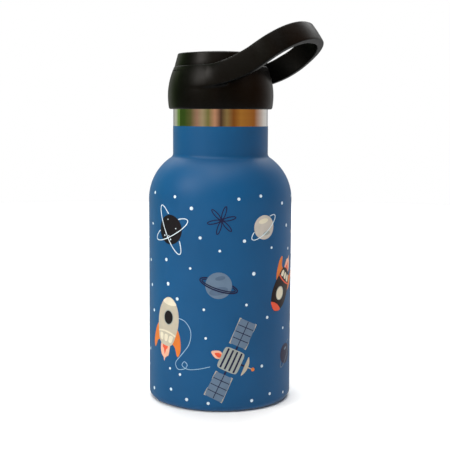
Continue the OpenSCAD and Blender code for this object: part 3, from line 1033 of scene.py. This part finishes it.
trail = smooth_loop([(-34, 44), (-27, 42.5), (-22.5, 38), (-24, 32), (-30, 27), (-36, 22.5), (-34, 19.5),
                     (-28, 20), (-25.5, 22), (-28, 23.5), (-30, 21.5), (-25, 20), (-17, 20.5), (-7, 22)],
                    9, closed=False)
lay("mist", (0, 0, 0, 1), stroke([(math.radians(a) * BODY_R, v) for a, v in trail], 0.3))

SEEN_DOTS = [
    (-63, 102), (-37, 101), (-22, 96), (14.5, 100.5), (33, 101.6), (57, 97.5), (-66.5, 87), (-15, 82.5),
    (19, 81), (65, 86.5), (44, 77), (69.5, 75), (0, 76.6), (-46, 71), (-72, 69), (-23, 68), (27, 65.5),
    (-44, 59.6), (-69, 57), (-34.6, 53), (21, 51), (-12, 49), (-64.5, 45), (-10.5, 35.5), (-32, 17),
    (60.5, 37), (-42, 19), (35, 21), (40, 44), (-65, 6.4), (-41, 9), (-26, 5.4), (-8.4, 4.5), (26, 5),
    (43.5, 6.7), (62, 5),
]
MOTIF_ROOM, DOT_ROOM = 12.5, 8.5
DOT_TRIES = 900
dice = random.Random(11)
for angle, v in SEEN_DOTS:
    dot(angle, v, dice.uniform(0.6, 0.9))
taken = [(settings[0], settings[1], MOTIF_ROOM) for _, settings in MOTIFS]
taken += [(angle, v, DOT_ROOM) for angle, v in SEEN_DOTS]
for _ in range(DOT_TRIES):
    angle, v = dice.uniform(74, 286), dice.uniform(5, 103)
    clear = all(math.hypot(math.radians((angle - a + 180) % 360 - 180) * BODY_R, v - b) > room
                for a, b, room in taken)
    if clear:
        dot(angle, v, dice.uniform(0.55, 0.9))
        taken.append((angle, v, DOT_ROOM))

for ink, (points, faces) in films.items():
    make_piece("print_" + ink, points, faces, "bottle", INKS[ink], sharp=40.0)


# ---- floor, light and camera
def floor_disc():
    """A wide pale disc under the bottle, with a turned-down edge."""
    radius, edge, depth = 1100.0, 12.0, 6.0
    rim = [(radius - edge + edge * math.sin(a), -edge + edge * math.cos(a))
           for a in [math.pi / 16 * k for k in range(9)]]
    return lathe([(0.0, 0.0)] + rim + [(radius, -edge - depth), (0.0, -edge - depth)], 128, 90.0)


def place_light(name, azimuth, height, distance, width, tall, power, colour=(1.0, 1.0, 1.0)):
    """A soft panel light that faces the bottle from an azimuth, with its centre at a height in metres."""
    lamp = bpy.data.lights.new(name, "AREA")
    lamp.shape = "RECTANGLE"
    lamp.size, lamp.size_y = width, tall
    lamp.energy = power
    lamp.color = colour
    light = bpy.data.objects.new(name, lamp)
    bpy.context.scene.collection.objects.link(light)
    a = math.radians(azimuth)
    light.location = (distance * math.cos(a), distance * math.sin(a), height)
    aim = Vector((0, 0, LIGHT_AIM_Z)) - light.location
    light.rotation_euler = aim.to_track_quat("-Z", "Y").to_euler()


floor_mesh = bpy.data.meshes.new("floor")
floor_points, floor_faces = floor_disc()
floor_mesh.from_pydata((np.array(floor_points) * MM).tolist(), [], floor_faces)
floor_mesh.materials.append(
    finish("floor_pale", srgb(252, 252, 251), 0.6, vary=0.01, patch=0.2, bump=0.00001))
floor = bpy.data.objects.new("floor", floor_mesh)
bpy.context.scene.collection.objects.link(floor)
floor.visible_glossy = False

LIGHT_AIM_Z = 0.09
place_light("key", CAMERA_AZIMUTH - 55, 0.85, 1.15, 0.55, 0.55, 9.4, (1.0, 0.96, 0.91))
place_light("front", CAMERA_AZIMUTH - 16, 1.35, 0.75, 0.6, 0.6, 4.6)
place_light("fill", CAMERA_AZIMUTH + 60, 0.8, 1.5, 0.8, 0.8, 0.8)
place_light("top", CAMERA_AZIMUTH + 180, 2.4, 0.3, 2.2, 2.2, 58.0)
place_light("back", CAMERA_AZIMUTH + 180, 1.1, 1.1, 1.8, 0.8, 12.0)


# The room that the steel mirrors, as colours at shares of a whole turn about the bottle.
ROOM = [
    (0.05, (0.06, 0.12, 0.02)),
    (0.11, (0.16, 0.16, 0.05)),
    (0.16, (0.5, 0.28, 0.18)),
    (0.2, (0.55, 0.42, 0.24)),
    (0.24, (0.27, 0.25, 0.08)),
    (0.285, (0.75, 0.38, 0.22)),
    (0.325, (0.1, 0.05, 0.03)),
    (0.365, (0.36, 0.24, 0.09)),
    (0.41, (0.3, 0.1, 0.02)),
    (0.46, (0.52, 0.22, 0.04)),
    (0.57, (0.4, 0.14, 0.03)),
    (0.68, (0.8, 0.76, 0.72)),
    (0.73, (0.75, 0.75, 0.74)),
    (0.76, (0.3, 0.3, 0.31)),
    (0.79, (0.62, 0.62, 0.63)),
    (0.83, (0.5, 0.5, 0.5)),
    (0.86, (0.16, 0.17, 0.17)),
    (0.9, (0.45, 0.47, 0.42)),
    (0.94, (0.6, 0.64, 0.5)),
    (0.98, (0.2, 0.36, 0.08)),
]
GROUND = (0.55, 0.55, 0.54, 1.0)
GROUND_STARTS, GROUND_FULL = -0.15, -0.4


def mirrored_room(nodes, links):
    """The colour that reflections see: the room all round, which turns into grey ground below."""
    place = new_node(nodes, "ShaderNodeTexCoord")
    apart = new_node(nodes, "ShaderNodeSeparateXYZ")
    links.new(place.outputs["Generated"], apart.inputs["Vector"])
    bearing = new_node(nodes, "ShaderNodeMath")
    bearing.operation = "ARCTAN2"
    links.new(apart.outputs["Y"], bearing.inputs[0])
    links.new(apart.outputs["X"], bearing.inputs[1])
    share = new_node(nodes, "ShaderNodeMapRange", [("From Min", -math.pi), ("From Max", math.pi)])
    links.new(bearing.outputs[0], share.inputs["Value"])

    room = new_node(nodes, "ShaderNodeValToRGB")
    stops = room.color_ramp.elements
    while len(stops) < len(ROOM):
        stops.new(0.5)
    for stop, (position, colour) in zip(stops, ROOM):
        stop.position = position
        stop.color = (*colour, 1.0)
    links.new(share.outputs["Result"], room.inputs["Fac"])

    below = new_node(nodes, "ShaderNodeMapRange", [("From Min", GROUND_STARTS), ("From Max", GROUND_FULL)])
    links.new(apart.outputs["Z"], below.inputs["Value"])
    grounded = new_node(nodes, "ShaderNodeMixRGB", [("Color2", GROUND)])
    links.new(below.outputs["Result"], grounded.inputs["Fac"])
    links.new(room.outputs["Color"], grounded.inputs["Color1"])
    return grounded.outputs["Color"]


def studio():
    """The world: white for the camera, even light for matt surfaces, and a mild room for reflections."""
    world = bpy.data.worlds.new("studio")
    world.use_nodes = True
    nodes, links = world.node_tree.nodes, world.node_tree.links
    nodes.clear()
    even = new_node(nodes, "ShaderNodeBackground", [("Color", (0.92, 0.96, 1.0, 1.0)), ("Strength", 0.13)])
    reflected = new_node(nodes, "ShaderNodeBackground", [("Strength", 1.15)])
    links.new(mirrored_room(nodes, links), reflected.inputs["Color"])
    seen = new_node(nodes, "ShaderNodeBackground", [("Color", (1.0, 1.0, 1.0, 1.0))])

    path = new_node(nodes, "ShaderNodeLightPath")
    glossy_mix, camera_mix = new_node(nodes, "ShaderNodeMixShader"), new_node(nodes, "ShaderNodeMixShader")
    links.new(path.outputs["Is Glossy Ray"], glossy_mix.inputs["Fac"])
    links.new(even.outputs["Background"], glossy_mix.inputs[1])
    links.new(reflected.outputs["Background"], glossy_mix.inputs[2])
    links.new(path.outputs["Is Camera Ray"], camera_mix.inputs["Fac"])
    links.new(glossy_mix.outputs["Shader"], camera_mix.inputs[1])
    links.new(seen.outputs["Background"], camera_mix.inputs[2])
    output = new_node(nodes, "ShaderNodeOutputWorld")
    links.new(camera_mix.outputs["Shader"], output.inputs["Surface"])
    return world


scene = bpy.context.scene
scene.world = studio()
scene.view_settings.view_transform = "Standard"

CAMERA_DISTANCE = 0.491
CAMERA_HEIGHT = 0.1395
CAMERA_ASIDE = 0.00239
CAMERA_PITCH = 6.36
CAMERA_ROLL = 0.26
CAMERA_LENS = 80.0
SENSOR_WIDTH = 36.0
lens = bpy.data.cameras.new("camera")
lens.lens = CAMERA_LENS
lens.sensor_width = SENSOR_WIDTH
lens.clip_start = 0.01
camera = bpy.data.objects.new("camera", lens)
scene.collection.objects.link(camera)
bearing = math.radians(CAMERA_AZIMUTH)
toward = Vector((math.cos(bearing), math.sin(bearing), 0))
aside = Vector((-math.sin(bearing), math.cos(bearing), 0))
camera.location = toward * CAMERA_DISTANCE + aside * CAMERA_ASIDE + Vector((0, 0, CAMERA_HEIGHT))
pitch = math.radians(CAMERA_PITCH)
looking = -toward * math.cos(pitch) - Vector((0, 0, 1)) * math.sin(pitch)
level = looking.to_track_quat("-Z", "Y").to_matrix()
camera.rotation_euler = (level @ Matrix.Rotation(math.radians(CAMERA_ROLL), 3, "Z")).to_euler()
scene.camera = camera
